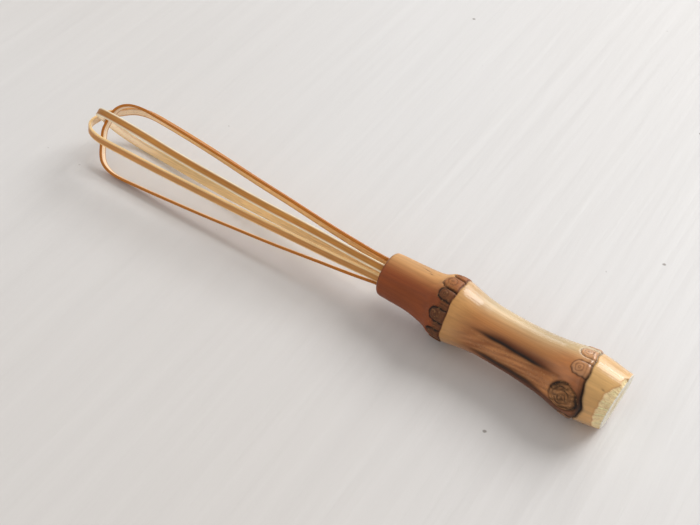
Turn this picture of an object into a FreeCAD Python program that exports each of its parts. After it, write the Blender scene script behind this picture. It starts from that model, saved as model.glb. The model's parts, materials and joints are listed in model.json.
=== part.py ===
# Small bamboo whisk: a root handle with two nodes, three bent splint loops whose six legs
# stand in a socket in the handle's front end, and a tapered peg between the legs.
# Millimetres. X runs along the whisk towards the handle's cut end.
import math
import os

import FreeCAD
import Part

os.makedirs("parts", exist_ok=True)

# --- driving dimensions: handle, stations are measured from where the splints begin to spread
MOUTH_STATION = -1.15
END_STATION = 83.7
FRONT_PROFILE = [
    (-1.15, 6.5), (-0.8, 7.15), (-0.15, 7.6), (1.0, 7.85), (4.0, 7.95), (9.0, 8.05),
    (13.0, 8.3), (16.5, 8.7), (18.4, 9.3), (19.4, 10.15), (20.4, 10.75), (21.8, 11.0),
    (24.0, 11.0), (25.2, 10.8), (25.7, 10.45),
]
WAIST_PROFILE = [
    (25.7, 10.4), (26.4, 10.7), (27.6, 10.8), (29.8, 10.45), (33.8, 9.5), (38.0, 9.05),
    (43.0, 8.95), (50.0, 9.05), (55.0, 9.3), (59.4, 9.65), (63.0, 10.05), (65.6, 10.45),
    (68.0, 11.0), (70.5, 11.35), (72.6, 11.4), (73.5, 10.95),
]
END_PROFILE = [
    (73.5, 10.9), (74.2, 11.25), (76.0, 11.1), (79.0, 10.7), (82.0, 10.2), (84.0, 9.95),
    (88.0, 9.7),
]
BEND_LINE = [(0.0, 0.0), (10.0, 0.02), (22.6, 0.4), (32.0, 1.02), (43.0, 1.6), (58.0, 2.1),
             (72.0, 2.4), (84.0, 2.65)]
BEND_ANGLE = 220.0

# --- socket and peg
SOCKET_RADIUS = 5.04
SOCKET_DEPTH = 17.0
SOCKET_FLARE = 0.55
SOCKET_FLARE_LENGTH = 1.2
SOCKET_FLOOR_CONE = 1.5
PEG_RADIUS = 3.79
PEG_TIP_RADIUS = 3.3
PEG_START = -0.3
PEG_LENGTH = 13.5
PEG_EDGE_RADIUS = 0.4

# --- root scars on the two nodes, angles run from +Y towards +Z
FIRST_SCAR_ANGLES = [25.0, 61.0, 86.0, 114.0, 152.0, 192.0, 228.0, 264.0, 300.0, 336.0]
FIRST_SCAR_STATION = 23.3
FIRST_SCAR_RADIUS = 2.6
FIRST_SCAR_TOP = 11.35
SECOND_SCAR_ANGLES = [2.0, 39.0, 76.0, 113.0, 214.0, 250.0, 288.0, 326.0]
SECOND_SCAR_STATION = 70.6
SECOND_SCAR_RADIUS = 3.0
SECOND_SCAR_TOP = 11.7
BUD_ANGLE = 166.0
BUD_STATION = 68.6
BUD_RADIUS = 4.5
BUD_TOP = 11.3
BUD_TILT = 0.14
BUD_DEPTH = 2.4
BUD_GROOVE_RADIUS = 3.0
BUD_GROOVE_DEPTH = 0.4
BUD_BASE_FLARE = 0.8
BUD_TOP_TAPER = 0.5

# --- flat groove that runs along the waist up to the bud scar
SULCUS_ANGLE = 160.0
SULCUS_HALF_WIDTH = 3.3
SULCUS_DEPTH = 0.5
SULCUS_STATIONS = [28.0, 29.5, 34.0, 38.0, 43.0, 50.0, 56.0, 61.0, 66.0]
SULCUS_RUN_OUT = 0.3

# --- saw cut at the end, nearly square and longest at CUT_ANGLE, and a worn bevel beside it
CUT_ANGLE = 40.0
CUT_RISE = 0.09
BEVEL_ANGLE = 155.0
BEVEL_START = 80.9
BEVEL_LENGTH = 2.8
BEVEL_SINK = 0.9

# --- splint loops
SPLINT_WIDTH = 3.0
SPLINT_THICKNESS = 0.95
HALF_OUTLINE = [
    (-14.0, 4.3), (-9.0, 4.3), (-4.0, 4.3), (0.0, 4.33), (5.0, 4.6), (12.0, 5.2),
    (26.5, 6.5), (40.0, 7.9), (57.0, 9.4), (72.0, 10.7), (88.0, 11.9), (100.0, 12.65),
    (108.0, 13.05), (113.0, 13.2), (117.0, 12.95), (120.5, 12.0), (123.2, 10.3),
    (124.9, 8.0), (125.6, 5.6), (125.8, 2.9), (125.83, 0.0),
]
OUTLINE_REACH = 125.83
OUTLINE_KEEP = 91.0
SECTIONS = 73
LEAN_ANGLE = 40.0
# name, angle of the near or upper leg, reach of the outer face, how much sooner the second
# leg's corner comes, and the sideways lean towards LEAN_ANGLE along the loop
LOOPS = [
    ("loop_outer", 170.0, 127.9, 3.2,
     [(0.0, 0.0), (10.0, 0.12), (27.0, 0.45), (57.0, 1.5), (88.0, 2.75), (104.0, 3.3),
      (128.0, 3.7)]),
    ("loop_middle", 122.0, 125.9, 0.0,
     [(0.0, 0.0), (30.0, 0.0), (57.0, 0.1), (88.0, 1.1), (104.0, 1.85), (126.0, 2.6)]),
    ("loop_inner", 46.0, 124.6, 2.3,
     [(0.0, 0.0), (10.0, -0.55), (27.0, -0.95), (57.0, -1.15), (88.0, -1.05), (125.0, -0.85)]),
]

# --- resting attitude on the table
REST_ROLL = -1.527
REST_PITCH = -0.537


def radial(angle, radius, station):
    turn = math.radians(angle)
    return FreeCAD.Vector(station, radius * math.cos(turn), radius * math.sin(turn))


def interpolate(table, value):
    if value <= table[0][0]:
        return table[0][1]
    for (low, first), (high, second) in zip(table, table[1:]):
        if value <= high:
            share = (value - low) / (high - low)
            return first + share * (second - first)
    return table[-1][1]


def glide(table, value):
    # smooth curve through the table's points, flat outside them
    if value <= table[0][0]:
        return table[0][1]
    if value >= table[-1][0]:
        return table[-1][1]
    index = max(k for k in range(len(table) - 1) if table[k][0] <= value)
    before = table[max(index - 1, 0)]
    start = table[index]
    stop = table[index + 1]
    after = table[min(index + 2, len(table) - 1)]
    span = stop[0] - start[0]
    leave = (stop[1] - before[1]) / (stop[0] - before[0]) * span
    arrive = (after[1] - start[1]) / (after[0] - start[0]) * span
    t = (value - start[0]) / span
    return ((2 * t ** 3 - 3 * t ** 2 + 1) * start[1] + (t ** 3 - 2 * t ** 2 + t) * leave
            + (3 * t ** 2 - 2 * t ** 3) * stop[1] + (t ** 3 - t ** 2) * arrive)


def centre_at(station):
    return radial(BEND_ANGLE, interpolate(BEND_LINE, station), station)


def loft_sections(profile):
    wires = []
    for station, radius in profile:
        circle = Part.makeCircle(radius, centre_at(station), FreeCAD.Vector(1, 0, 0))
        wires.append(Part.Wire([circle]))
    return Part.makeLoft(wires, True, False)


def socket_cutter():
    # a bore with a flared mouth and a shallow cone at its floor
    wide = SOCKET_RADIUS + SOCKET_FLARE
    before = MOUTH_STATION - 1.0
    profile = [
        (before, 0.0), (before, wide + SOCKET_FLARE), (MOUTH_STATION, wide),
        (MOUTH_STATION + 0.4 * SOCKET_FLARE_LENGTH, SOCKET_RADIUS + 0.3 * SOCKET_FLARE),
        (MOUTH_STATION + SOCKET_FLARE_LENGTH, SOCKET_RADIUS), (SOCKET_DEPTH, SOCKET_RADIUS),
        (SOCKET_DEPTH + SOCKET_FLOOR_CONE, 0.0), (before, 0.0),
    ]
    points = [FreeCAD.Vector(x, y, 0) for x, y in profile]
    face = Part.Face(Part.makePolygon(points))
    return face.revolve(FreeCAD.Vector(0, 0, 0), FreeCAD.Vector(1, 0, 0), 360)


def scar_dome(angle, station, ball_radius, top):
    centre = centre_at(station) + radial(angle, top - ball_radius, 0)
    return Part.makeSphere(ball_radius, centre)


def bud_scar(handle):
    outward = radial(BUD_ANGLE, 1.0, -BUD_TILT)
    outward.normalize()
    top = centre_at(BUD_STATION) + radial(BUD_ANGLE, BUD_TOP, 0)
    base = top - outward * BUD_DEPTH
    disc = Part.makeCone(BUD_RADIUS + BUD_BASE_FLARE, BUD_RADIUS - BUD_TOP_TAPER, BUD_DEPTH, base,
                         outward)
    handle = handle.fuse(disc)
    groove = Part.makeTorus(BUD_GROOVE_RADIUS, BUD_GROOVE_DEPTH, top, outward)
    return handle.cut(groove)


def sulcus_cutter():
    # a block whose inner face follows the waist, above the skin where the groove begins
    points = []
    for index, station in enumerate(SULCUS_STATIONS):
        depth = SULCUS_DEPTH if index > 1 else -SULCUS_RUN_OUT
        bend = interpolate(BEND_LINE, station) * math.cos(math.radians(SULCUS_ANGLE - BEND_ANGLE))
        reach = interpolate(WAIST_PROFILE, station) - depth + bend
        points.append(radial(SULCUS_ANGLE, reach, station))
    curve = Part.BSplineCurve()
    curve.interpolate(points)
    lift = radial(SULCUS_ANGLE, 4.0, 0)
    outline = Part.makePolygon([points[-1], points[-1] + lift, points[0] + lift, points[0]])
    face = Part.Face(Part.Wire([curve.toShape()] + outline.Edges))
    side = radial(SULCUS_ANGLE + 90.0, SULCUS_HALF_WIDTH, 0)
    face.translate(side * -1.0)
    return face.extrude(side * 2.0)


def bevel_cutter():
    # a wedge-shaped block larger than the end piece, sunk by BEVEL_SINK over BEVEL_LENGTH
    slope = math.degrees(math.atan2(BEVEL_SINK, BEVEL_LENGTH))
    box = Part.makeBox(12.0, 40.0, 10.0, FreeCAD.Vector(-2.0, -20.0, 0.0))
    box.rotate(FreeCAD.Vector(0, 0, 0), FreeCAD.Vector(0, 1, 0), slope)
    reach = interpolate(END_PROFILE, BEVEL_START) - 0.05
    box.translate(FreeCAD.Vector(BEVEL_START, 0, reach))
    box.rotate(FreeCAD.Vector(0, 0, 0), FreeCAD.Vector(1, 0, 0), BEVEL_ANGLE - 90.0)
    box.translate(centre_at(END_STATION) - FreeCAD.Vector(END_STATION, 0, 0))
    return box


def end_cutter():
    # a block larger than the handle, beyond the saw cut's plane
    normal = FreeCAD.Vector(1, 0, 0) - radial(CUT_ANGLE, CUT_RISE, 0)
    box = Part.makeBox(12.0, 60.0, 60.0, FreeCAD.Vector(0, -30.0, -30.0))
    turn = FreeCAD.Rotation(FreeCAD.Vector(1, 0, 0), normal)
    box.Placement = FreeCAD.Placement(centre_at(END_STATION), turn)
    return box


def make_handle():
    handle = loft_sections(FRONT_PROFILE)
    handle = handle.fuse([loft_sections(WAIST_PROFILE), loft_sections(END_PROFILE)])
    handle = handle.cut(sulcus_cutter())
    domes = []
    for angle in FIRST_SCAR_ANGLES:
        domes.append(scar_dome(angle, FIRST_SCAR_STATION, FIRST_SCAR_RADIUS, FIRST_SCAR_TOP))
    for angle in SECOND_SCAR_ANGLES:
        domes.append(scar_dome(angle, SECOND_SCAR_STATION, SECOND_SCAR_RADIUS, SECOND_SCAR_TOP))
    handle = handle.fuse(domes)
    handle = bud_scar(handle)
    handle = handle.cut([bevel_cutter(), end_cutter(), socket_cutter()])
    return handle.Solids[0]


def loop_outline(reach, early):
    # legs up to OUTLINE_KEEP are shared by all loops, the rest is moved to the reach
    shift = reach - SPLINT_THICKNESS / 2.0 - OUTLINE_REACH
    first = []
    second = []
    for along, out in HALF_OUTLINE:
        share = max(0.0, (along - OUTLINE_KEEP) / (OUTLINE_REACH - OUTLINE_KEEP))
        place = along + shift * min(1.0, share * 1.4)
        first.append((place, out))
        second.append((place - early * share * min(1.0, out / 7.0), -out))
    return first + second[-2::-1]


def strip_section(curve, share, angle, lean):
    # the splint's rectangle at one place along the outline, leaned sideways towards the tip
    parameter = curve.FirstParameter + (curve.LastParameter - curve.FirstParameter) * share
    spot = curve.value(parameter)
    run = curve.tangent(parameter)[0]
    up = radial(angle, 1.0, 0)
    side = radial(angle + 90.0, SPLINT_WIDTH / 2.0, 0)
    tilt = glide(lean, spot.x)
    middle = up * spot.y + radial(LEAN_ANGLE, tilt, -spot.x)
    outward = (up * run.x + FreeCAD.Vector(run.y, 0, 0)) * (SPLINT_THICKNESS / 2.0)
    corners = [middle + outward + side, middle + outward - side,
               middle - outward - side, middle - outward + side]
    return Part.makePolygon(corners + [corners[0]])


def make_loop(angle, reach, early, lean):
    curve = Part.BSplineCurve()
    curve.interpolate([FreeCAD.Vector(along, out, 0) for along, out in loop_outline(reach, early)])
    sections = []
    for index in range(SECTIONS):
        sections.append(strip_section(curve, index / (SECTIONS - 1), angle, lean))
    return Part.makeLoft(sections, True, False)


def make_peg():
    start = FreeCAD.Vector(PEG_START, 0, 0)
    peg = Part.makeCone(PEG_RADIUS, PEG_TIP_RADIUS, PEG_LENGTH, start, FreeCAD.Vector(1, 0, 0))
    rim = [edge for edge in peg.Edges if abs(edge.BoundBox.XMax - PEG_START) < 0.01]
    return peg.makeFillet(PEG_EDGE_RADIUS, rim)


def lowest(shape):
    return min(point.z for point in shape.tessellate(0.02)[0])


def settle(nodes):
    origin = FreeCAD.Vector(0, 0, 0)
    for shape in nodes.values():
        shape.rotate(origin, FreeCAD.Vector(1, 0, 0), REST_ROLL)
        shape.rotate(origin, FreeCAD.Vector(0, 1, 0), REST_PITCH)
    points = []
    for shape in nodes.values():
        points += shape.tessellate(0.02)[0]
    xs = [point.x for point in points]
    ys = [point.y for point in points]
    zs = [point.z for point in points]
    middle_x = (min(xs) + max(xs)) / 2.0
    middle_y = (min(ys) + max(ys)) / 2.0
    move = FreeCAD.Vector(-middle_x, -middle_y, -min(zs))
    for shape in nodes.values():
        shape.translate(move)
    return move


def build():
    nodes = {"handle": make_handle(), "wedge_peg": make_peg()}
    for name, angle, reach, early, lean in LOOPS:
        nodes[name] = make_loop(angle, reach, early, lean)
    move = settle(nodes)
    print("moved by", move)
    for name, shape in nodes.items():
        shape.exportStep("parts/" + name + ".step")
        print(name, "valid", shape.isValid(), "solids", len(shape.Solids),
              "volume", round(shape.Volume, 1), "lowest", round(lowest(shape), 3))


build()
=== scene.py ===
"""Looks of the small bamboo whisk: a root handle with two scarred nodes, three bent splint
loops and the peg in the socket, on a pale painted table under soft light.

Lengths are millimetres in the whisk's own frame until to_world() turns them into metres:
x is the station behind the place where the splints spread, and angles run from +Y towards +Z."""
import json
import math

import bpy
import numpy as np
from mathutils import Matrix, Vector


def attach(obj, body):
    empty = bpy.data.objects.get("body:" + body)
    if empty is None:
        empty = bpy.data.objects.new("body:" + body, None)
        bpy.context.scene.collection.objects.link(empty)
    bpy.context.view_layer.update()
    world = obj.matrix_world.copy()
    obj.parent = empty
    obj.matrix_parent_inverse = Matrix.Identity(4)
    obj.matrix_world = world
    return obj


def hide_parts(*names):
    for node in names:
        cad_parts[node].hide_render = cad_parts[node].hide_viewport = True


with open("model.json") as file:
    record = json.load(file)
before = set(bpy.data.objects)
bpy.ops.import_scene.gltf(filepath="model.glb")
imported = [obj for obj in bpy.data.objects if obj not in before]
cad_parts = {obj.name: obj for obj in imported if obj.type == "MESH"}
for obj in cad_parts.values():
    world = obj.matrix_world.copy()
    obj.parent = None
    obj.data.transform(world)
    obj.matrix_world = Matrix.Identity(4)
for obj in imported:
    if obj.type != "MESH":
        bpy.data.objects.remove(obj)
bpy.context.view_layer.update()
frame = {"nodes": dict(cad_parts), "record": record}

MM = 0.001

# --- resting attitude and handle, on the CAD model's stations; the skin is one smooth profile and
# the socket's visible floor lies just ahead of the CAD model's
REST_ROLL = math.radians(-1.527)
REST_PITCH = math.radians(-0.537)
MOUTH_STATION = -1.15
END_STATION = 83.7
BEND_ANGLE = 220.0
BEND_LINE = [(0.0, 0.0), (10.0, 0.02), (22.6, 0.4), (32.0, 1.02), (43.0, 1.6), (58.0, 2.1),
             (72.0, 2.4), (84.0, 2.65), (90.0, 2.75)]
SKIN_PROFILE = [
    (-1.15, 7.75), (4.0, 7.95), (9.0, 8.05), (13.0, 8.3), (16.5, 8.7), (18.4, 9.25),
    (19.6, 10.05), (20.6, 10.65), (22.0, 10.9), (24.0, 10.95), (25.7, 10.9), (27.2, 10.75),
    (28.4, 10.5), (29.8, 10.2), (33.8, 9.4), (38.0, 9.0), (43.0, 8.92), (50.0, 9.0),
    (55.0, 9.25), (59.4, 9.6), (63.0, 10.0), (65.6, 10.45), (68.0, 10.95), (70.5, 11.3),
    (73.0, 11.35), (76.0, 11.1), (79.0, 10.7), (82.0, 10.2), (84.0, 9.95), (88.0, 9.7),
]
SOCKET_RADIUS = 5.04
SOCKET_DEPTH = 16.5
LIP_RADIUS = 1.5
FACE_RADIUS = 6.1
RIM_RADIUS = 9.9
CUT_ANGLE = 40.0
CUT_RISE = 0.09
CHIP_START = [(70.0, 86.0), (82.0, 83.5), (92.0, 82.9), (100.0, 83.4), (110.0, 82.0), (127.0, 80.6),
              (149.0, 79.9), (169.0, 80.0), (200.0, 80.2), (216.0, 81.6), (236.0, 84.6),
              (250.0, 86.0)]
SKIN_SMOOTHING = 0.7
CUT_BULGE = 0.15
FIRST_GROOVE_DEPTH = 0.42
SECOND_GROOVE_DEPTH = 0.5
WEAR_DEPTH = 1.0
WEAR_LIMIT = 9.0
ROW_STEP = 0.22
ANGLE_STEPS = 320
SOCKET_FIBRE = 0.6
DARKEST = 0.003
PALEST = 0.95

# --- natural marks; each scar is (angle, station, radius, darkness), the darkness partly painted shade, larger on the side turned from the light
FIRST_GROOVE = 25.7
FIRST_SCARS = [(25.0, 22.9, 2.0, 0.5), (61.0, 22.9, 1.7, 0.55), (87.0, 22.4, 2.8, 0.55),
               (114.0, 22.5, 2.0, 0.95), (152.0, 22.7, 2.2, 1.0), (192.0, 22.8, 1.9, 1.0),
               (228.0, 22.6, 2.2, 0.9), (264.0, 22.8, 2.0, 0.8), (300.0, 22.6, 2.1, 0.6),
               (336.0, 22.8, 2.2, 0.5)]
SECOND_GROOVE = 73.5
SECOND_SCARS = [(2.0, 70.6, 2.1, 0.3), (39.0, 70.4, 2.2, 0.3), (75.0, 70.3, 2.4, 0.2),
                (110.0, 70.2, 2.4, 0.45), (214.0, 71.0, 2.2, 0.8), (250.0, 70.6, 2.3, 0.6),
                (288.0, 70.8, 2.1, 0.5), (326.0, 70.5, 2.3, 0.4)]
BUD_ANGLE = 168.0
BUD_STATION = 69.5
BUD_RADIUS = 4.9
BUD_RINGS = [(3.5, 0.4), (2.5, 2.2), (1.5, 4.0)]
SCAR_HEIGHT = 0.5
SCAR_REACH = 3.0
OUT_OF_REACH = 9.0
SCAR_RING = 0.55
SECOND_SCAR_SHARE = 0.5
SULCUS_ANGLE = 163.0
SULCUS_HALF = 23.0

# --- splint loops
SPLINT_WIDTH = 3.0
SPLINT_THICKNESS = 0.95
SPLINT_CORNER = 0.17
SPLINT_CROWN = 0.03
KNUCKLE_LENGTH = 0.55
KNUCKLE_SWELL = 0.07
LEAN_ANGLE = 40.0
HALF_OUTLINE = [
    (-14.0, 4.3), (-9.0, 4.3), (-4.0, 4.3), (0.0, 4.33), (5.0, 4.6), (12.0, 5.2),
    (26.5, 6.5), (40.0, 7.9), (57.0, 9.4), (72.0, 10.7), (88.0, 11.9), (100.0, 12.65),
    (108.0, 13.05), (113.0, 13.2), (117.0, 12.95), (120.5, 12.0), (123.2, 10.3),
    (124.9, 8.0), (125.6, 5.6), (125.8, 2.9), (125.83, 0.0),
]
OUTLINE_REACH = 125.83
OUTLINE_KEEP = 91.0
# angle of the near or upper leg, reach of the outer face, how much sooner the second leg's
# corner comes, and the sideways lean towards LEAN_ANGLE along the loop
LOOP_SHAPES = {
    "outer": (170.0, 127.9, 3.2,
              [(0.0, 0.0), (10.0, 0.12), (27.0, 0.45), (57.0, 1.5), (88.0, 2.75),
               (104.0, 3.3), (128.0, 3.7)]),
    "middle": (122.0, 125.9, 0.0,
               [(0.0, 0.0), (30.0, 0.0), (57.0, 0.1), (88.0, 1.1), (104.0, 1.85),
                (126.0, 2.6)]),
    "inner": (46.0, 124.6, 2.3,
              [(0.0, 0.0), (10.0, -0.55), (27.0, -0.95), (57.0, -1.15), (88.0, -1.05),
               (125.0, -0.85)]),
}
# pale bands where the outer splint has a node, by length along it
OUTER_KNUCKLES = (252.6, 265.8)
LOOP_STEPS = 420

# --- view and light; the camera aims at AIM_STATION, AIM_DROP off the axis away from LEAN_ANGLE
AIM_STATION = -14.4
AIM_DROP = 2.55
CAMERA_DISTANCE = 371.0
CAMERA_AZIMUTH = math.radians(29.28)
CAMERA_ELEVATION = math.radians(47.79)
CAMERA_ROLL = math.radians(5.31)
CAMERA_LENS = 56.57
SENSOR_WIDTH = 36.0
STROKE_TURN = math.radians(-38.0)
TABLE_SIZE = 6.0
# area lights, in metres: name, place, size, energy and colour
LAMPS = [
    ("window", (0.6, 1.33, 1.26), 1.15, 24.0, (1.0, 0.99, 0.98)),
    ("low_sky", (0.0, 1.9, 0.85), 1.1, 8.0, (1.0, 1.0, 1.0)),
    ("fill", (-0.9, -0.7, 0.9), 1.4, 2.2, (1.0, 0.96, 0.92)),
]
ROOM_COLOUR = (0.97, 0.92, 0.88, 1.0)
ROOM_STRENGTH = 0.55


def linear(red, green, blue):
    """One colour from 0-255 display values to linear light."""
    values = np.array([red, green, blue], float) / 255.0
    return np.where(values <= 0.04045, values / 12.92, ((values + 0.055) / 1.055) ** 2.4)


# ---------------------------------------------------------------- placement
def rest_rotation():
    return Matrix.Rotation(REST_PITCH, 3, "Y") @ Matrix.Rotation(REST_ROLL, 3, "X")


def radial(angle, radius, station=0.0):
    turn = math.radians(angle)
    return Vector((station, radius * math.cos(turn), radius * math.sin(turn)))


def bend_at(station):
    return np.interp(station, [s for s, _ in BEND_LINE], [b for _, b in BEND_LINE])


def find_origin():
    """Where station 0 lies in the frame: back along the handle from the cut end's mount."""
    mount = next(m for m in frame["record"]["mounts"] if m["name"] == "cut_end")
    end = Vector(mount["pos_m"]) / MM
    return end - rest_rotation() @ radial(BEND_ANGLE, float(bend_at(END_STATION)), END_STATION)


REST = np.array(rest_rotation())
ORIGIN = np.array(find_origin())


def to_world(points):
    return (points @ REST.T + ORIGIN) * MM


# ---------------------------------------------------------------- small maths
def smooth_step(low, high, value):
    share = np.clip((value - low) / (high - low), 0.0, 1.0)
    return share * share * (3.0 - 2.0 * share)


def bell(value, centre, width):
    return np.exp(-((value - centre) / width) ** 2)


def turn_from(angle, centre):
    """Signed difference of two angles in degrees, from -180 to 180."""
    return (angle - centre + 180.0) % 360.0 - 180.0


def ripple(seed, station, angle, count, longest, turns):
    """Smooth seeded noise that closes round the handle, about -1 to 1: a sum of count waves,
    each up to the longest length along the handle and with up to so many turns round it."""
    rng = np.random.default_rng(seed)
    total = np.zeros(np.broadcast(station, angle).shape)
    for _ in range(count):
        wave = 2.0 * math.pi * rng.uniform(0.25, 1.0) / longest
        lobes = int(rng.integers(0, turns + 1))
        phase = rng.uniform(0.0, 2.0 * math.pi)
        total += np.sin(wave * station + lobes * np.radians(angle) + phase)
    return total / math.sqrt(count)


def blend(colour, other, share):
    colour = np.asarray(colour)
    return colour + (np.asarray(other) - colour) * np.clip(share, 0.0, 1.0)[..., None]


def profile_radius(station):
    """The bare skin's radius, with SKIN_PROFILE's corners smoothed over about a millimetre."""
    fine = np.arange(-4.0, 94.0, 0.1)
    table = np.interp(fine, [s for s, _ in SKIN_PROFILE], [r for _, r in SKIN_PROFILE])
    reach = np.arange(-2.0, 2.01, 0.1)
    weight = np.exp(-(reach / SKIN_SMOOTHING) ** 2)
    table = np.convolve(np.pad(table, 20, mode="edge"), weight / weight.sum(), mode="valid")
    return np.interp(station, fine, table)


def end_station(angle):
    """The station of the cut's rim at each angle."""
    return END_STATION + CUT_RISE * RIM_RADIUS * np.cos(np.radians(angle - CUT_ANGLE))


# ---------------------------------------------------------------- handle relief and colour
def chip_length(angle):
    """How far the worn, chipped part reaches back from the rim."""
    start = np.interp(angle, [a for a, _ in CHIP_START], [s for _, s in CHIP_START])
    wobble = 0.16 * np.sin(np.radians(angle * 9.0)) + 0.14 * np.sin(np.radians(angle * 23.0))
    return np.clip(end_station(angle) - start + wobble, 0.0, WEAR_LIMIT)


def first_groove_line(angle):
    slow = 0.18 * np.sin(np.radians(angle * 5.0 + 40.0))
    quick = 0.1 * np.sin(np.radians(angle * 11.0))
    return FIRST_GROOVE + slow + quick


def second_groove_line(angle):
    swell = 2.5 * bell(turn_from(angle, 172.0), 0.0, 30.0)
    wobble = 0.2 * np.sin(np.radians(angle * 4.0)) + 0.14 * np.sin(np.radians(angle * 13.0 + 60.0))
    return SECOND_GROOVE + swell + wobble


def scar_shape(station, angle, radius, scar, groove):
    """Two distances from a root scar's middle in its own radii: to the U that opens onto the
    groove, and round."""
    centre, middle, size, _ = scar
    across = np.radians(turn_from(angle, centre)) * radius
    along = station - middle
    ahead = np.where(along > 0.0, 0.0, along)
    distance = np.sqrt(across ** 2 + ahead ** 2) / size
    round_distance = np.sqrt(across ** 2 + along ** 2) / size
    ahead_of_groove = station < groove
    return (np.where(ahead_of_groove, distance, OUT_OF_REACH),
            np.where(ahead_of_groove, round_distance, OUT_OF_REACH))


def scar_relief(distance, round_distance, size):
    dome = SCAR_HEIGHT * np.sqrt(np.clip(1.0 - distance ** 2, 0.0, 1.0))
    outline = -0.32 * bell(distance * size, size * 1.02, 0.26)
    ring = -0.12 * bell(round_distance * size, size * SCAR_RING, 0.16)
    pip = 0.14 * bell(round_distance * size, 0.0, 0.28)
    return dome + outline + ring + pip


def raise_scars(relief, station, angle, radius, scars, groove, share):
    for scar in scars:
        distance, round_distance = scar_shape(station, angle, radius, scar, groove)
        raised = share * scar_relief(distance, round_distance, scar[2])
        relief = relief + raised * (distance < SCAR_REACH)
    return relief


def bud_distance(station, angle, radius):
    across = np.radians(turn_from(angle, BUD_ANGLE)) * radius
    along = station - BUD_STATION
    wobble = 0.14 * np.sin(3.0 * np.arctan2(along, across) + 1.0)
    return np.sqrt(across ** 2 + along ** 2) + wobble, np.arctan2(along, across)


def bud_relief(distance):
    dome = 0.45 * np.sqrt(np.clip(1.0 - (distance / (BUD_RADIUS + 0.5)) ** 2, 0.0, 1.0))
    rings = -0.34 * bell(distance, BUD_RADIUS - 0.1, 0.3)
    rings += -0.26 * bell(distance, 3.2, 0.26) - 0.18 * bell(distance, 2.1, 0.24)
    return dome + rings - 0.25 * bell(distance, 0.0, 0.7)


def sulcus_masks(station, angle):
    """The flat band along the waist and its two edge lines, which are cut in and painted dark as shade in
    the groove.
    """
    reach = smooth_step(29.0, 40.0, station) * (1.0 - smooth_step(64.0, 67.0, station))
    wave = 0.8 * np.sin(station * 0.31) + 0.4 * np.sin(station * 0.83 + 1.0)
    across = turn_from(angle, SULCUS_ANGLE)
    half = SULCUS_HALF + 0.7 * wave
    band = reach * (1.0 - smooth_step(half - 6.0, half + 3.0, np.abs(across)))
    deep = smooth_step(32.0, 43.0, station) * (1.0 - 0.8 * smooth_step(56.0, 65.0, station))
    upper = bell(across, -half, 2.2 + 3.6 * deep) * (0.12 + 0.88 * deep)
    upper *= smooth_step(29.0, 36.0, station) * (1.0 - smooth_step(65.5, 68.0, station))
    lower = bell(across, half + 3.5, 2.6 + 5.4 * deep) * (0.15 + 0.85 * deep)
    lower *= smooth_step(31.0, 38.0, station) * (1.0 - smooth_step(66.5, 69.5, station))
    return band, upper, lower


def handle_radius(station, angle):
    """The skin's radius with all its relief, down to the lip and the worn edge."""
    base = profile_radius(station)
    low_side = bell(turn_from(angle, 220.0), 0.0, 70.0)
    base = base + 0.35 * low_side * (bell(station, 17.0, 4.0) + bell(station, 68.0, 5.0))
    ring = first_groove_line(angle)
    node = second_groove_line(angle)
    relief = 0.06 * ripple(3, station, angle, 9, 30.0, 4)
    relief = relief + 0.012 * ripple(4, station, angle, 14, 60.0, 90)
    relief = raise_scars(relief, station, angle, base, FIRST_SCARS, ring, 1.0)
    relief = raise_scars(relief, station, angle, base, SECOND_SCARS, node, SECOND_SCAR_SHARE)
    bud, _ = bud_distance(station, angle, base)
    relief = relief + bud_relief(bud) * (bud < BUD_RADIUS + 1.5)
    relief = relief - FIRST_GROOVE_DEPTH * bell(station, ring, 0.24)
    relief = relief - SECOND_GROOVE_DEPTH * bell(station, node, 0.3)
    relief = relief + 0.2 * bell(station, node - 1.2, 0.9)
    fade = bell(station, ring - 2.6, 2.6)
    relief = relief + 0.05 * fade * ripple(5, 0.0, angle, 16, 60.0, 80)
    band, upper, lower = sulcus_masks(station, angle)
    relief = relief - 0.45 * band - 0.22 * upper - 0.2 * lower
    rim = end_station(angle)
    worn = smooth_step(rim - chip_length(angle), rim + 0.05, station)
    worn = worn * (chip_length(angle) > 0.05)
    relief = relief - WEAR_DEPTH * worn - 0.08 * worn * ripple(6, station, angle, 12, 6.0, 70)
    lip = np.clip(1.0 - (station - MOUTH_STATION) / LIP_RADIUS, 0.0, 1.0)
    return base + relief - LIP_RADIUS * (1.0 - np.sqrt(np.clip(1.0 - lip ** 2, 0.0, 1.0)))


# --- tones of the handle
# ferrule: its own brown, painted lighter on the side facing the light and darker as painted shade on the
# side turned from it
FERRULE_LIT_TOP = linear(206, 156, 100)
FERRULE_SHADED_LOW = linear(144, 72, 32)
LIT_TOP_CREAM = linear(198, 170, 122)
GOLD = linear(186, 122, 60)
REDDISH = linear(148, 82, 36)
UMBER = linear(58, 28, 15)
SOOT = linear(24, 14, 9)
RING_BROWN = linear(156, 92, 46)
SCAR_PINK = linear(206, 146, 94)
OLIVE = linear(100, 64, 30)
END_GOLD = linear(220, 174, 108)
FIBRE = linear(252, 226, 176)
CUT_WHITE = linear(255, 250, 236)
CUT_CENTRE = linear(226, 204, 150)
BORE = linear(120, 82, 46)
MOUTH_FACE = linear(176, 122, 70)
LIP_BROWN = linear(104, 50, 24)
WAIST_SHOULDER = linear(208, 156, 90)
WAIST_BROWN = linear(172, 104, 50)
WAIST_UNDER = linear(190, 134, 74)
# the ring band's underside tone is painted shade
RING_SHADED_UNDER = linear(98, 56, 28)
SCAR_TAN = linear(178, 112, 62)
NODE_SHADED_BROWN = linear(150, 88, 48)
GROOVE_BROWN = linear(92, 48, 28)
BUD_TAN = linear(176, 118, 62)
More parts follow.
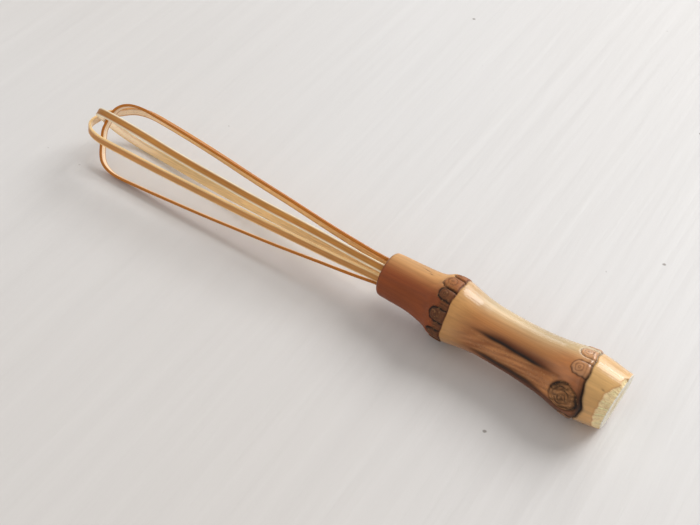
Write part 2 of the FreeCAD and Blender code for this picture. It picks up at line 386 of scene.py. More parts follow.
# painted shade of the sulcus groove: soft dark gradients above and below it and its two dark edge lines
SULCUS_SHADE_ABOVE = linear(92, 42, 20)
SULCUS_SHADE_BELOW = linear(92, 46, 22)
SULCUS_TAN = linear(198, 130, 66)
SULCUS_BROWN = linear(150, 88, 40)
SULCUS_UPPER_SHADE_LINE = linear(26, 14, 10)
SULCUS_LOWER_SHADE_LINE = linear(28, 15, 10)
END_SIDE = linear(214, 162, 98)
CHIP_EDGE = linear(186, 120, 60)

# --- short flecks: tone, strength, (angle, station), length, width
FLECKS = [(UMBER, 0.75, (72.0, 12.3), 1.5, 0.2), (UMBER, 0.6, (80.0, 14.3), 0.6, 0.25),
          (REDDISH, 0.7, (126.0, 2.0), 0.5, 0.4), (UMBER, 0.5, (124.0, 79.5), 0.6, 0.3)]


def flood(tone, shape):
    """One tone at every place."""
    return np.broadcast_to(tone, shape)


def waist_colour(station, angle):
    """Cream on top and by the first node, golden down the side, reddish by the groove: partly the bamboo's
    own tones, partly painted light on the top and painted shade down the side.
    """
    # partly painted light and shade: paler on the lit top near 62 degrees, darker further round
    toward = np.abs(turn_from(angle, 62.0)) / 80.0
    colour = blend(flood(LIT_TOP_CREAM, station.shape + (3,)), GOLD, smooth_step(0.1, 0.75, toward))
    colour = blend(colour, REDDISH, 0.75 * smooth_step(0.6, 1.15, toward))
    shoulder = 1.0 - smooth_step(27.0, 37.0, station)
    colour = blend(colour, WAIST_SHOULDER, 0.7 * shoulder)
    near_node = smooth_step(56.0, 68.0, station)
    colour = blend(colour, WAIST_BROWN, 0.7 * near_node * smooth_step(0.15, 0.6, toward))
    hidden = smooth_step(60.0, 150.0, np.abs(turn_from(angle, 100.0)))
    colour = blend(colour, WAIST_UNDER, 0.6 * hidden)
    patches = ripple(11, station, angle, 12, 26.0, 3)
    return colour * (1.0 + 0.1 * patches)[..., None]


def ferrule_colour(station, angle):
    # painted light and shade: paler towards the lit top near 52 degrees, darker brown on the side turned
    # from the light
    side = smooth_step(18.0, 78.0, np.abs(turn_from(angle, 52.0)))
    colour = blend(flood(FERRULE_LIT_TOP, station.shape + (3,)), FERRULE_SHADED_LOW, side)
    patches = ripple(12, station, angle, 12, 22.0, 3)
    colour = colour * (1.0 + 0.09 * patches)[..., None]
    return blend(colour, LIP_BROWN, 0.7 * (1.0 - smooth_step(MOUTH_STATION, 0.1, station)))


def paint_scars(colour, station, angle, radius, scars, groove, tone):
    for scar in scars:
        size, dark = scar[2], scar[3]
        distance, round_distance = scar_shape(station, angle, radius, scar, groove)
        wobble = 0.06 * np.sin(np.radians(angle * 17.0) + station * 3.0)
        colour = blend(colour, tone, 0.8 * (distance < 1.0))
        # partly painted shade: the dark fill on scars turned from the light and the dark outline round each
        # raised scar stand in part for shade cast by its rim
        colour = blend(colour, UMBER, (distance < 1.05) * 0.72 * dark ** 2)
        line = bell((distance + wobble) * size, size * 1.03, 0.2 + 0.16 * dark)
        colour = blend(colour, SOOT, line * (0.35 + 0.65 * dark))
        ring = bell((round_distance + wobble) * size, size * SCAR_RING, 0.17)
        colour = blend(colour, UMBER, 0.5 * ring)
        colour = blend(colour, SOOT, 0.45 * bell(round_distance * size, 0.35, 0.2))
    return colour


def paint_bud(colour, station, angle, radius):
    distance, around = bud_distance(station, angle, radius)
    mottle = ripple(13, station, angle, 18, 2.4, 60)
    drift = distance + 0.16 * ripple(18, station, angle, 8, 5.0, 24)
    inside = drift < BUD_RADIUS
    tone = blend(flood(OLIVE, colour.shape), BUD_TAN, 0.45 + 0.5 * mottle)
    colour = np.where(inside[..., None], tone, colour)
    crescents = np.maximum(bell(turn_from(np.degrees(around), -135.0), 0.0, 42.0),
                           bell(turn_from(np.degrees(around), 78.0), 0.0, 62.0))
    rim = (0.45 + 0.55 * crescents) * bell(drift, BUD_RADIUS - 0.3 * crescents, 0.3 + 0.5 * crescents)
    colour = blend(colour, SOOT, rim)
    for ring, phase in BUD_RINGS:
        broken = np.clip(0.35 + 0.45 * np.sin(around * 2.0 + phase) + 0.35 * mottle, 0.0, 1.0)
        colour = blend(colour, SOOT, broken * bell(drift, ring, 0.24))
    return blend(colour, SOOT, 0.5 * bell(distance, 0.0, 0.5))


def paint_sulcus(colour, station, angle):
    band, upper, lower = sulcus_masks(station, angle)
    mottle = ripple(14, station, angle, 20, 7.0, 34)
    across = turn_from(angle, SULCUS_ANGLE)
    deep = smooth_step(36.0, 46.0, station) * (1.0 - smooth_step(58.0, 68.0, station))
    # painted shade: soft dark gradients above and below the band and the dark edge lines stand for shade in
    # the groove's valley
    shade_above = bell(across, -SULCUS_HALF - 6.0, 10.0) * deep
    shade_below = smooth_step(SULCUS_HALF, SULCUS_HALF + 8.0, across) * bell(across, 36.0, 30.0)
    colour = blend(colour, SULCUS_SHADE_ABOVE, 0.8 * shade_above)
    colour = blend(colour, SULCUS_SHADE_BELOW, 0.9 * shade_below * smooth_step(34.0, 46.0, station))
    tone = blend(flood(SULCUS_TAN, colour.shape), SULCUS_BROWN, 0.4 + 0.4 * mottle)
    colour = blend(colour, tone, 0.8 * band)
    return blend(blend(colour, SULCUS_UPPER_SHADE_LINE, upper), SULCUS_LOWER_SHADE_LINE, 0.92 * lower)


def dash(station, angle, radius, where, length, width):
    """Mask of a short dark fleck lying along the handle."""
    centre_angle, centre_station = where
    across = np.radians(turn_from(angle, centre_angle)) * radius
    along = station - centre_station
    return np.exp(-((along / length) ** 2 + ((across - 0.18 * along) / width) ** 2))


def paint_first_node(colour, station, angle, radius):
    # painted shade: the ring band is painted darker on the side turned from the light
    low = smooth_step(20.0, 80.0, np.abs(turn_from(angle, 62.0)))
    tone = blend(flood(RING_BROWN, colour.shape), RING_SHADED_UNDER, 0.85 * low)
    tone = tone * (1.0 + 0.16 * ripple(15, 0.0, angle, 18, 60.0, 90))[..., None]
    colour = blend(colour, tone, smooth_step(21.6, 23.4, station))
    return paint_scars(colour, station, angle, radius, FIRST_SCARS, first_groove_line(angle), SCAR_TAN)


def paint_waist(colour, station, angle):
    ring = first_groove_line(angle)
    behind = smooth_step(ring - 0.05, ring + 0.25, station)
    return paint_sulcus(blend(colour, waist_colour(station, angle), behind), station, angle)


def paint_second_node(colour, station, angle, radius):
    # partly painted shade: the node band is painted browner on the side turned from the light near 50
    # degrees
    band = smooth_step(68.0, 71.5, station) * smooth_step(20.0, 90.0, np.abs(turn_from(angle, 50.0)))
    colour = blend(colour, NODE_SHADED_BROWN, 0.6 * band)
    node = second_groove_line(angle)
    colour = paint_scars(colour, station, angle, radius, SECOND_SCARS, node, SCAR_PINK)
    return paint_bud(colour, station, angle, radius)


def paint_end_piece(colour, station, angle):
    node = second_groove_line(angle)
    side = smooth_step(40.0, 130.0, np.abs(turn_from(angle, 60.0)))
    tone = blend(flood(END_GOLD, colour.shape), END_SIDE, side)
    tone = tone * (1.0 + 0.07 * ripple(16, station, angle, 12, 14.0, 4))[..., None]
    return blend(colour, tone, smooth_step(node - 0.05, node + 0.3, station))


def paint_grooves(colour, station, angle):
    """The dark lines of both nodes, thick and scorched by the bud scar."""
    node = second_groove_line(angle)
    colour = blend(colour, GROOVE_BROWN, 0.85 * bell(station, first_groove_line(angle), 0.3))
    thick = bell(turn_from(angle, 165.0), 0.0, 55.0)
    colour = blend(colour, SOOT, (0.65 + 0.35 * thick) * bell(station, node, 0.26 + 0.5 * thick))
    colour = blend(colour, UMBER, 0.45 * (1.0 - thick) * bell(station, node - 1.4, 0.22))
    scorch = bell(turn_from(angle, 172.0), 0.0, 42.0) * bell(station, node - 0.7, 1.1)
    return blend(colour, SOOT, 0.7 * scorch)


def paint_chip(colour, station, angle):
    """Bare fibre where the end's edge is worn away, with a brown line round it."""
    chip = chip_length(angle)
    edge = end_station(angle) - chip
    chipped = chip > 0.1
    fibre = FIBRE * (1.0 + 0.12 * ripple(17, station * 0.3, angle, 18, 8.0, 140))[..., None]
    colour = blend(colour, fibre, smooth_step(edge - 0.12, edge + 0.12, station) * chipped)
    return blend(colour, CHIP_EDGE, 0.5 * bell(station, edge, 0.3) * chipped)


def handle_colour(station, angle):
    """Tones of the skin, laid on from the front end to the cut."""
    radius = profile_radius(station)
    colour = ferrule_colour(station, angle)
    colour = paint_first_node(colour, station, angle, radius)
    colour = paint_waist(colour, station, angle)
    colour = paint_second_node(colour, station, angle, radius)
    colour = paint_end_piece(colour, station, angle)
    colour = paint_grooves(colour, station, angle)
    for tone, strength, where, length, width in FLECKS:
        colour = blend(colour, tone, strength * dash(station, angle, radius, where, length, width))
    return paint_chip(colour, station, angle)


# ---------------------------------------------------------------- handle mesh
def ring_points(station, radius, angle):
    turn = np.radians(angle)
    bend = bend_at(station)
    lean = math.radians(BEND_ANGLE)
    across = radius * np.cos(turn) + bend * math.cos(lean)
    up = radius * np.sin(turn) + bend * math.sin(lean)
    return np.stack([np.broadcast_to(station, turn.shape), across, up], -1)


def skin_rows(angle):
    """Rows from the lip to the rim; the last few millimetres follow the cut."""
    rows = []
    lip = [MOUTH_STATION + step for step in (0.0, 0.05, 0.15, 0.3, 0.5, 0.75, 1.05)]
    plain = list(np.arange(MOUTH_STATION + 1.3, END_STATION, ROW_STEP))
    for nominal in lip + plain:
        share = smooth_step(END_STATION - 12.0, END_STATION, np.array(nominal))
        station = nominal + share * (end_station(angle) - END_STATION)
        rows.append((station, handle_radius(station, angle)))
    return rows


def handle_rings(angle):
    """Every ring of the handle in order, from the socket's floor to the cut end's middle."""
    rings = []
    for depth in (SOCKET_DEPTH, 12.0, 8.0, 4.0, 1.5, 0.2):
        rings.append(("bore", depth, SOCKET_RADIUS))
    for depth, flare in ((0.5, 0.1), (0.2, 0.2), (0.05, 0.35), (0.0, 0.6)):
        rings.append(("mouth", MOUTH_STATION + depth, SOCKET_RADIUS + flare))
    rings.append(("mouth", MOUTH_STATION, FACE_RADIUS))
    for station, radius in skin_rows(angle):
        rings.append(("skin", station, radius))
    rim = end_station(angle)
    edge = handle_radius(rim, angle)
    rings.append(("cut", rim + 0.1, edge - 0.08))
    for share in (0.97, 0.93, 0.86, 0.77, 0.66, 0.54, 0.42, 0.3, 0.18, 0.08):
        flat = END_STATION + (rim - END_STATION) * share * edge / RIM_RADIUS
        rough = 0.05 * ripple(21, flat * 4.0, angle, 10, 9.0, 30) * (share > 0.1)
        rings.append(("cut", flat + CUT_BULGE + rough, edge * share))
    return rings


def cut_colour(share, angle):
    """End grain: pale and unevenly grained, a little browner towards the middle."""
    grain = ripple(22, share * 40.0, angle, 16, 8.0, 60)
    colour = flood(CUT_WHITE, angle.shape + (3,)) * (1.0 + 0.06 * grain)[..., None]
    return blend(colour, CUT_CENTRE, 0.5 * (1.0 - smooth_step(0.2, 0.8, share)))


def skin_marks(station, angle, colour):
    """How scarred, how bare and how glossy the skin is."""
    chip = chip_length(angle)
    edge = end_station(angle) - chip
    fibre = smooth_step(edge - 0.1, edge + 0.1, station) * (chip > 0.1)
    band, upper, lower = sulcus_masks(station, angle)
    rough = 0.45 * band * (1.0 - np.clip(upper + lower, 0.0, 1.0))
    bud, _ = bud_distance(station, angle, profile_radius(station))
    rough = np.maximum(rough, 0.6 * (bud < BUD_RADIUS + 0.4))
    rough = np.maximum(rough, 0.5 * bell(station, 22.8, 2.6))
    gloss = smooth_step(25.0, 27.0, station) * smooth_step(0.03, 0.25, colour.mean(axis=-1))
    return rough, fibre, gloss


def handle_geometry():
    angle = np.arange(ANGLE_STEPS) * 360.0 / ANGLE_STEPS
    points, colours, marks = [], [], []
    for kind, station, radius in handle_rings(angle):
        points.append(ring_points(station, radius, angle))
        rough = np.zeros(ANGLE_STEPS)
        gloss = np.zeros(ANGLE_STEPS)
        if kind == "skin":
            colour = handle_colour(station, angle)
            rough, fibre, gloss = skin_marks(station, angle, colour)
        elif kind == "cut":
            colour = cut_colour(radius / RIM_RADIUS, angle)
            fibre = np.ones(ANGLE_STEPS)
        else:
            colour = flood(BORE if kind == "bore" else MOUTH_FACE, (ANGLE_STEPS, 3))
            fibre = np.full(ANGLE_STEPS, SOCKET_FIBRE)
        colours.append(np.clip(colour, DARKEST, PALEST))
        marks.append(np.stack([rough, fibre, gloss * (1.0 - fibre)], -1))
    return points, colours, marks


def grid_faces(rows, columns):
    faces = []
    for row in range(rows - 1):
        low = row * columns
        for column in range(columns):
            after = (column + 1) % columns
            faces.append((low + column, low + columns + column, low + columns + after, low + after))
    return faces


def set_colours(mesh, name, values):
    layer = mesh.attributes.new(name, "FLOAT_COLOR", "POINT")
    table = np.ones((len(values), 4), np.float32)
    table[:, :3] = values
    layer.data.foreach_set("color", table.ravel())


def make_object(name, points, faces, colours, marks):
    mesh = bpy.data.meshes.new(name)
    mesh.from_pydata(to_world(points).tolist(), [], faces)
    set_colours(mesh, "tone", colours)
    set_colours(mesh, "marks", marks)
    mesh.polygons.foreach_set("use_smooth", [True] * len(mesh.polygons))
    mesh.update()
    piece = bpy.data.objects.new(name, mesh)
    bpy.context.scene.collection.objects.link(piece)
    return piece


def make_handle():
    points, colours, marks = handle_geometry()
    rows = len(points)
    faces = grid_faces(rows, ANGLE_STEPS)
    first = rows * ANGLE_STEPS
    last = first + 1
    floor = ring_points(np.array(SOCKET_DEPTH), 0.0, np.array(0.0))
    middle = ring_points(np.array(END_STATION + CUT_BULGE), 0.0, np.array(0.0))
    for column in range(ANGLE_STEPS):
        after = (column + 1) % ANGLE_STEPS
        faces.append((first, column, after))
        start = (rows - 1) * ANGLE_STEPS
        faces.append((last, start + after, start + column))
    points = np.vstack(points + [floor[None, :], middle[None, :]])
    colours = np.vstack(colours + [BORE[None, :], CUT_CENTRE[None, :]])
    marks = np.vstack(marks + [np.zeros((2, 3))])
    piece = make_object("root_handle", points, faces, colours, marks)
    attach(piece, "root")
    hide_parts("handle")
    return piece


# ---------------------------------------------------------------- splint loops
def loop_outline(reach, early):
    """Centre line of one splint in its own plane, both legs, end moved to its reach."""
    shift = reach - SPLINT_THICKNESS / 2.0 - OUTLINE_REACH
    first, second = [], []
    for along, out in HALF_OUTLINE:
        share = max(0.0, (along - OUTLINE_KEEP) / (OUTLINE_REACH - OUTLINE_KEEP))
        place = along + shift * min(1.0, share * 1.4)
        first.append((place, out))
        second.append((place - early * share * min(1.0, out / 7.0), -out))
    return np.array(first + second[-2::-1])


def glide(table, value):
    """Smooth curve through the table's points, flat outside them."""
    places = np.array([place for place, _ in table])
    heights = np.array([height for _, height in table])
    slopes = np.zeros(len(places))
    slopes[1:-1] = (heights[2:] - heights[:-2]) / (places[2:] - places[:-2])
    slopes[0] = (heights[1] - heights[0]) / (places[1] - places[0])
    slopes[-1] = (heights[-1] - heights[-2]) / (places[-1] - places[-2])
    value = np.clip(value, places[0], places[-1])
    low = np.clip(np.searchsorted(places, value, side="right") - 1, 0, len(places) - 2)
    span = places[low + 1] - places[low]
    t = (value - places[low]) / span
    rise = (2 * t ** 3 - 3 * t ** 2 + 1) * heights[low] + (3 * t ** 2 - 2 * t ** 3) * heights[low + 1]
    bow = (t ** 3 - 2 * t ** 2 + t) * slopes[low] + (t ** 3 - t ** 2) * slopes[low + 1]
    return rise + span * bow


def spline_through(points, steps):
    """Natural cubic spline through the points, sampled evenly, with its unit tangents."""
    gaps = np.linalg.norm(np.diff(points, axis=0), axis=1)
    knots = np.concatenate([[0.0], np.cumsum(gaps)])
    count = len(knots)
    system = np.eye(count)
    target = np.zeros_like(points)
    for k in range(1, count - 1):
        system[k, k - 1] = gaps[k - 1]
        system[k, k] = 2.0 * (gaps[k - 1] + gaps[k])
        system[k, k + 1] = gaps[k]
        target[k] = 6.0 * ((points[k + 1] - points[k]) / gaps[k] - (points[k] - points[k - 1]) / gaps[k - 1])
    curve = np.linalg.solve(system, target)
    at = np.linspace(0.0, knots[-1], steps)
    low = np.clip(np.searchsorted(knots, at, side="right") - 1, 0, count - 2)
    gap = gaps[low][:, None]
    after = (at - knots[low])[:, None]
    before = gap - after
    spots = (curve[low] * before ** 3 + curve[low + 1] * after ** 3) / (6.0 * gap)
    spots += (points[low] / gap - curve[low] * gap / 6.0) * before
    spots += (points[low + 1] / gap - curve[low + 1] * gap / 6.0) * after
    tangents = np.gradient(spots, axis=0)
    return spots, tangents / np.linalg.norm(tangents, axis=1)[:, None]


def splint_section():
    """Rounded rectangle with slightly crowned faces: each point across and outward."""
    half_width = SPLINT_WIDTH / 2.0 - SPLINT_CORNER
    half_thick = SPLINT_THICKNESS / 2.0 - SPLINT_CORNER
    outline = []
    corners = [(half_width, half_thick, 0), (-half_width, half_thick, 90),
               (-half_width, -half_thick, 180), (half_width, -half_thick, 270)]
    for across, out, start in corners:
        for extra in (0, 30, 60, 90):
            turn = math.radians(start + extra)
            outline.append((across + SPLINT_CORNER * math.cos(turn), out + SPLINT_CORNER * math.sin(turn)))
        if start in (0, 180):
            side = 1.0 if start == 0 else -1.0
            for share in (0.2, 0.4, 0.6, 0.8):
                crown = SPLINT_CROWN * (1.0 - (2.0 * share - 1.0) ** 2)
                across = side * half_width * (1.0 - 2.0 * share)
                outline.append((across, side * (half_thick + SPLINT_CORNER + crown)))
    return np.array(outline)


# pith painted palest at the loop tips, partly as painted light
LIT_TIP_PITH = linear(255, 238, 214)
KNUCKLE_TONE = linear(244, 214, 160)
# the near-white edge tones of the outer and middle loops are partly painted highlight; each far leg's own
# edge tone is painted light and shade
LOOP_TONES = {
    "outer": {"skin": linear(214, 154, 88), "pith": linear(246, 206, 146),
              "edge": linear(250, 214, 156), "far_edge": linear(204, 146, 84),
              "stripe": linear(176, 110, 50)},
    "middle": {"skin": linear(196, 138, 66), "pith": linear(244, 212, 156),
               "edge": linear(255, 242, 212), "far_edge": linear(246, 216, 162),
               "stripe": linear(160, 98, 42)},
    "inner": {"skin": linear(190, 114, 36), "pith": linear(244, 200, 142),
              "edge": linear(188, 116, 34), "far_edge": linear(184, 114, 36),
              "stripe": linear(164, 88, 24)},
}


def splint_colour(tones, along, across, outward, seed, far, tip):
    """Skin outside, paler pith inside and cut edges, partly painted highlight, with long fibre streaks. The
    far leg's edges have a tone of their own as painted light and shade, and the pith is palest towards the
    tip, partly painted light."""
    skin = smooth_step(0.1, 0.42, outward)
    edge = smooth_step(0.37, 0.44, np.abs(across) / SPLINT_WIDTH)
    shape = across.shape
    pith = blend(tones["pith"], LIT_TIP_PITH, np.full(shape, tip))
    colour = blend(pith, tones["skin"], skin)
    rng = np.random.default_rng(seed)
    streak = np.zeros(shape)
    for _ in range(10):
        streak += np.sin(across * rng.uniform(3.0, 22.0) + along * rng.uniform(0.01, 0.09)
                         + rng.uniform(0.0, 6.3))
    colour = blend(colour, tones["stripe"], (0.22 + 0.12 * streak) * skin)
    colour = colour * (1.0 + 0.03 * streak + 0.07 * np.sin(along * 0.11 + seed))[..., None]
    return blend(colour, blend(tones["edge"], tones["far_edge"], np.full(shape, far)), edge)


def loop_path(which, seed):
    """One loop's centre line with, at every step, the distance ahead of station 0, the length so
    far, how free the splint is and the way outward, and the one way to the side."""
    angle, reach, early, lean = LOOP_SHAPES[which]
    spots, run = spline_through(loop_outline(reach, early), LOOP_STEPS)
    ahead = spots[:, 0].copy()
    length = np.concatenate([[0.0], np.cumsum(np.linalg.norm(np.diff(spots, axis=0), axis=1))])
    free = smooth_step(2.0, 25.0, ahead)
    up = np.array(radial(angle, 1.0))
    side = np.array(radial(angle + 90.0, 1.0))
    lean_way = np.array(radial(LEAN_ANGLE, 1.0))
    sway = free * (0.12 * np.sin(length * 0.06 + seed) + 0.05 * np.sin(length * 0.17 + 2 * seed))
    middle = up * spots[:, 1:] + glide(lean, ahead)[:, None] * lean_way + sway[:, None] * side
    middle[:, 0] -= ahead
    outward = up * run[:, :1]
    outward[:, 0] += run[:, 1]
    return middle, ahead, length, free, outward, side


def loop_rings(which, seed, knuckles):
    """Points and colours of one loop's sections, from one leg's foot to the other's."""
    middle, ahead, length, free, outward, side = loop_path(which, seed)
    section = splint_section()
    girth = 1.0 - 0.03 * free * (0.5 + 0.5 * np.sin(length * 0.09 + 3 * seed))
    knuckle = np.zeros(LOOP_STEPS)
    for place in knuckles:
        knuckle += bell(length, place, KNUCKLE_LENGTH)
    points, colours = [], []
    for step in range(LOOP_STEPS):
        swell = 1.0 + KNUCKLE_SWELL * knuckle[step]
        across = section[:, 0] * girth[step] * swell
        out = section[:, 1] * (1.0 - 0.04 * free[step] * math.sin(length[step] * 0.05 + seed)) * swell
        points.append(middle[step] + out[:, None] * outward[step] + across[:, None] * side)
        far = float(smooth_step(0.49, 0.53, length[step] / length[-1]))
        tip = 0.75 * float(smooth_step(98.0, 122.0, ahead[step]))
        colour = splint_colour(LOOP_TONES[which], length[step], across, out, seed, far, tip)
        colours.append(blend(colour, KNUCKLE_TONE, np.full(len(section), 0.7 * knuckle[step])))
    return points, colours


def make_loop(which, seed, knuckles=()):
    """One splint loop as a closed mesh in place of its CAD node."""
    points, colours = loop_rings(which, seed, knuckles)
    count = len(points[0])
    faces = grid_faces(LOOP_STEPS, count)
    faces.append(tuple(range(count)))
    faces.append(tuple(reversed(range((LOOP_STEPS - 1) * count, LOOP_STEPS * count))))
    marks = np.zeros((LOOP_STEPS * count, 3))
    piece = make_object("splint_" + which, np.vstack(points), faces, np.vstack(colours), marks)
    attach(piece, "root")
    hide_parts("loop_" + which)
    return piece


# ---------------------------------------------------------------- materials
DARK_SPECK = linear(64, 40, 24)
PALE_SPECK = linear(214, 168, 108)
OPEN_PORE = linear(206, 164, 104)
PEG_PALE = linear(222, 186, 128)
PEG_BROWN = linear(150, 104, 58)
TABLE_COOL = linear(221, 222, 223)
TABLE_WARM = linear(213, 211, 209)
TABLE_DUST = linear(130, 124, 118)
BAMBOO_SPECULAR = 0.3
COAT_SHARE = 0.85
COAT_ROUGHNESS = 0.17
TABLE_ROUGHNESS = 0.55


def opaque(colour):
    return tuple(colour) + (1.0,)


def new_material(name):
    material = bpy.data.materials.new(name)
    material.use_nodes = True
    tree = material.node_tree
    return material, tree, tree.nodes["Principled BSDF"]


def add_noise(tree, stretch, scale, detail, turn=0.0):
    """Noise in object space, drawn out along the whisk so that it reads as fibre."""
    place = tree.nodes.new("ShaderNodeTexCoord")
    mapping = tree.nodes.new("ShaderNodeMapping")
    mapping.inputs["Scale"].default_value = stretch
    mapping.inputs["Rotation"].default_value = (0.0, 0.0, turn)
    noise = tree.nodes.new("ShaderNodeTexNoise")
    noise.inputs["Scale"].default_value = scale
    noise.inputs["Detail"].default_value = detail
    tree.links.new(place.outputs["Object"], mapping.inputs["Vector"])
    tree.links.new(mapping.outputs["Vector"], noise.inputs["Vector"])
    return noise.outputs["Fac"]


def add_range(tree, value, low, high, start=0.3, stop=0.7):
    node = tree.nodes.new("ShaderNodeMapRange")
    node.inputs["From Min"].default_value = start
    node.inputs["From Max"].default_value = stop
    node.inputs["To Min"].default_value = low
    node.inputs["To Max"].default_value = high
    tree.links.new(value, node.inputs["Value"])
    return node.outputs["Result"]


def add_math(tree, operation, first, second):
    node = tree.nodes.new("ShaderNodeMath")
    node.operation = operation
    for socket, value in zip(node.inputs, (first, second)):
        if isinstance(value, float):
            socket.default_value = value
        else:
            tree.links.new(value, socket)
    return node.outputs["Value"]


def add_mix(tree, factor, first, second, mode="MIX"):
    node = tree.nodes.new("ShaderNodeMix")
    node.data_type = "RGBA"
    node.blend_type = mode
    for index, value in ((0, factor), (6, first), (7, second)):
        socket = node.inputs[index]
        if isinstance(value, (float, tuple)):
            socket.default_value = value
        else:
            tree.links.new(value, socket)
    return node.outputs[2]


def add_bump(tree, shader, height, strength, distance):
    bump = tree.nodes.new("ShaderNodeBump")
    bump.inputs["Strength"].default_value = strength
    bump.inputs["Distance"].default_value = distance
    tree.links.new(height, bump.inputs["Height"])
    tree.links.new(bump.outputs["Normal"], shader.inputs["Normal"])


def read_attribute(tree, name):
    node = tree.nodes.new("ShaderNodeAttribute")
    node.attribute_name = name
    return node.outputs["Color"]


def add_specks(tree, base, noise, tone, most, span, where):
    """Specks of one tone laid over the base, only where the mask allows them."""
    mask = add_math(tree, "MULTIPLY", add_range(tree, noise, 0.0, most, *span), where)
    return add_mix(tree, mask, base, opaque(tone))


def skin_material():
    """Polished bamboo skin: painted tones, fine fibre streaks, speckles where it is scarred."""
    material, tree, shader = new_material("bamboo_skin")
    tone = read_attribute(tree, "tone")
    split = tree.nodes.new("ShaderNodeSeparateColor")
    tree.links.new(read_attribute(tree, "marks"), split.inputs["Color"])
    scarred, cut = split.outputs["Red"], split.outputs["Green"]
    streaks = add_noise(tree, (35.0, 900.0, 900.0), 1.0, 4.0)
    shade = add_range(tree, streaks, 0.86, 1.1)
    lit = add_mix(tree, 1.0, tone, shade, "MULTIPLY")
    specks = add_noise(tree, (1400.0, 1700.0, 1700.0), 1.0, 3.0)
    spotted = add_specks(tree, lit, specks, DARK_SPECK, 0.55, (0.55, 0.7), scarred)
    pale = add_noise(tree, (900.0, 1100.0, 1100.0), 1.3, 2.0)
    worn = add_specks(tree, spotted, pale, PALE_SPECK, 0.4, (0.58, 0.7), scarred)
    pores = add_noise(tree, (260.0, 2600.0, 2600.0), 1.0, 2.0)
    final = add_specks(tree, worn, pores, OPEN_PORE, 0.45, (0.5, 0.66), cut)
    tree.links.new(final, shader.inputs["Base Color"])
    gloss = add_range(tree, streaks, 0.36, 0.5)
    matt = add_math(tree, "MAXIMUM", scarred, cut)
    roughness = add_math(tree, "ADD", gloss, add_math(tree, "MULTIPLY", matt, 0.3))
    tree.links.new(roughness, shader.inputs["Roughness"])
    shader.inputs["Specular IOR Level"].default_value = BAMBOO_SPECULAR
    coat = add_math(tree, "MULTIPLY", split.outputs["Blue"], COAT_SHARE)
    tree.links.new(coat, shader.inputs["Coat Weight"])
    shader.inputs["Coat Roughness"].default_value = COAT_ROUGHNESS
    fine = add_math(tree, "MULTIPLY", specks, add_math(tree, "ADD", matt, 0.12))
    height = add_math(tree, "ADD", fine, add_math(tree, "MULTIPLY", streaks, 0.35))
    add_bump(tree, shader, height, strength=0.45, distance=0.0003)
    return material


def splint_material():
    """Split bamboo: painted tones with long fibres."""
    material, tree, shader = new_material("split_bamboo")
    fibres = add_noise(tree, (60.0, 2600.0, 2600.0), 1.0, 3.0)
    shade = add_range(tree, fibres, 0.84, 1.12)
    tone = add_mix(tree, 1.0, read_attribute(tree, "tone"), shade, "MULTIPLY")
    tree.links.new(tone, shader.inputs["Base Color"])
    tree.links.new(add_range(tree, fibres, 0.34, 0.52), shader.inputs["Roughness"])
    shader.inputs["Specular IOR Level"].default_value = BAMBOO_SPECULAR
    add_bump(tree, shader, fibres, strength=0.4, distance=0.0002)
    return material


def peg_material():
    """Raw cut bamboo with long brown grain."""
    material, tree, shader = new_material("peg_cut_bamboo")
    grain = add_noise(tree, (120.0, 1900.0, 1900.0), 1.0, 3.0)
    tone = add_mix(tree, add_range(tree, grain, 0.0, 1.0), opaque(PEG_PALE), opaque(PEG_BROWN))
    tree.links.new(tone, shader.inputs["Base Color"])
    tree.links.new(add_range(tree, grain, 0.55, 0.8), shader.inputs["Roughness"])
    add_bump(tree, shader, grain, strength=0.5, distance=0.0002)
    return material


def floor_material():
    """Pale painted wood: faint brush strokes, soft clouds and a few specks of dust."""
    material, tree, shader = new_material("painted_table")
    strokes = add_noise(tree, (70.0, 4.0, 1.0), 2.2, 5.0, STROKE_TURN)
    cloud = add_noise(tree, (2.2, 2.2, 1.0), 1.0, 2.0)
    dust = add_noise(tree, (260.0, 260.0, 1.0), 1.0, 0.0)
    base = add_mix(tree, add_range(tree, cloud, 0.0, 1.0), opaque(TABLE_COOL), opaque(TABLE_WARM))
    brushed = add_mix(tree, 1.0, base, add_range(tree, strokes, 0.985, 1.015), "MULTIPLY")
    specks = add_range(tree, dust, 0.0, 0.8, 0.88, 0.92)
    tree.links.new(add_mix(tree, specks, brushed, opaque(TABLE_DUST)), shader.inputs["Base Color"])
    shader.inputs["Roughness"].default_value = TABLE_ROUGHNESS
    add_bump(tree, shader, strokes, strength=0.3, distance=0.002)
    return material


# ---------------------------------------------------------------- stage
def make_floor():
    bpy.ops.mesh.primitive_plane_add(size=TABLE_SIZE, location=(0.0, 0.0, 0.0))
    floor = bpy.context.object
    floor.name = "table"
    floor.data.materials.append(floor_material())


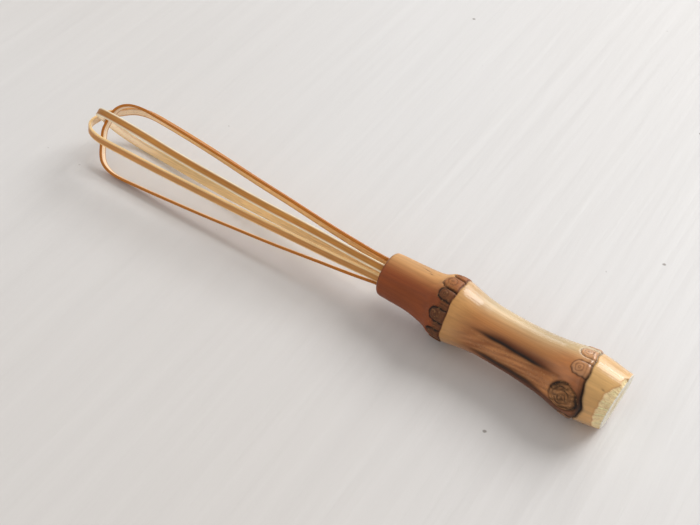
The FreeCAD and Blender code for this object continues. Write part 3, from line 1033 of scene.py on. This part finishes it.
def view_axes():
    """The camera's right, up and back directions."""
    back = Vector((math.sin(CAMERA_AZIMUTH) * math.cos(CAMERA_ELEVATION),
                   -math.cos(CAMERA_AZIMUTH) * math.cos(CAMERA_ELEVATION),
                   math.sin(CAMERA_ELEVATION)))
    right = Vector((0.0, 0.0, 1.0)).cross(back).normalized()
    right = Matrix.Rotation(CAMERA_ROLL, 3, back) @ right
    return right, back.cross(right), back


def make_camera():
    camera = bpy.data.objects.new("camera", bpy.data.cameras.new("camera"))
    bpy.context.scene.collection.objects.link(camera)
    camera.data.lens = CAMERA_LENS
    camera.data.sensor_width = SENSOR_WIDTH
    camera.data.clip_start = 0.01
    right, up, back = view_axes()
    whisk_point = radial(LEAN_ANGLE, -AIM_DROP, AIM_STATION)
    aim = Vector(to_world(np.array(whisk_point)))
    turn = Matrix((right, up, back)).transposed()
    camera.matrix_world = Matrix.Translation(aim + back * CAMERA_DISTANCE * MM) @ turn.to_4x4()
    bpy.context.scene.camera = camera


def add_light(name, place, size, energy, colour):
    light = bpy.data.lights.new(name, "AREA")
    light.shape = "DISK"
    light.size = size
    light.energy = energy
    light.color = colour
    lamp = bpy.data.objects.new(name, light)
    lamp.location = place
    lamp.rotation_euler = (-Vector(place)).to_track_quat("-Z", "Y").to_euler()
    bpy.context.scene.collection.objects.link(lamp)


def make_lights():
    for name, place, size, energy, colour in LAMPS:
        add_light(name, place, size, energy, colour)
    world = bpy.data.worlds.new("soft_room")
    world.use_nodes = True
    background = world.node_tree.nodes["Background"]
    background.inputs["Color"].default_value = ROOM_COLOUR
    background.inputs["Strength"].default_value = ROOM_STRENGTH
    bpy.context.scene.world = world


# ---------------------------------------------------------------- build
def build():
    handle = make_handle()
    handle.data.materials.append(skin_material())
    split_bamboo = splint_material()
    loops = [make_loop("outer", 1, OUTER_KNUCKLES), make_loop("middle", 2), make_loop("inner", 3)]
    for loop in loops:
        loop.data.materials.append(split_bamboo)
    peg = frame["nodes"]["wedge_peg"]
    peg.data.materials.clear()
    peg.data.materials.append(peg_material())
    make_floor()
    make_camera()
    make_lights()
    bpy.context.scene.view_settings.view_transform = "Standard"


build()
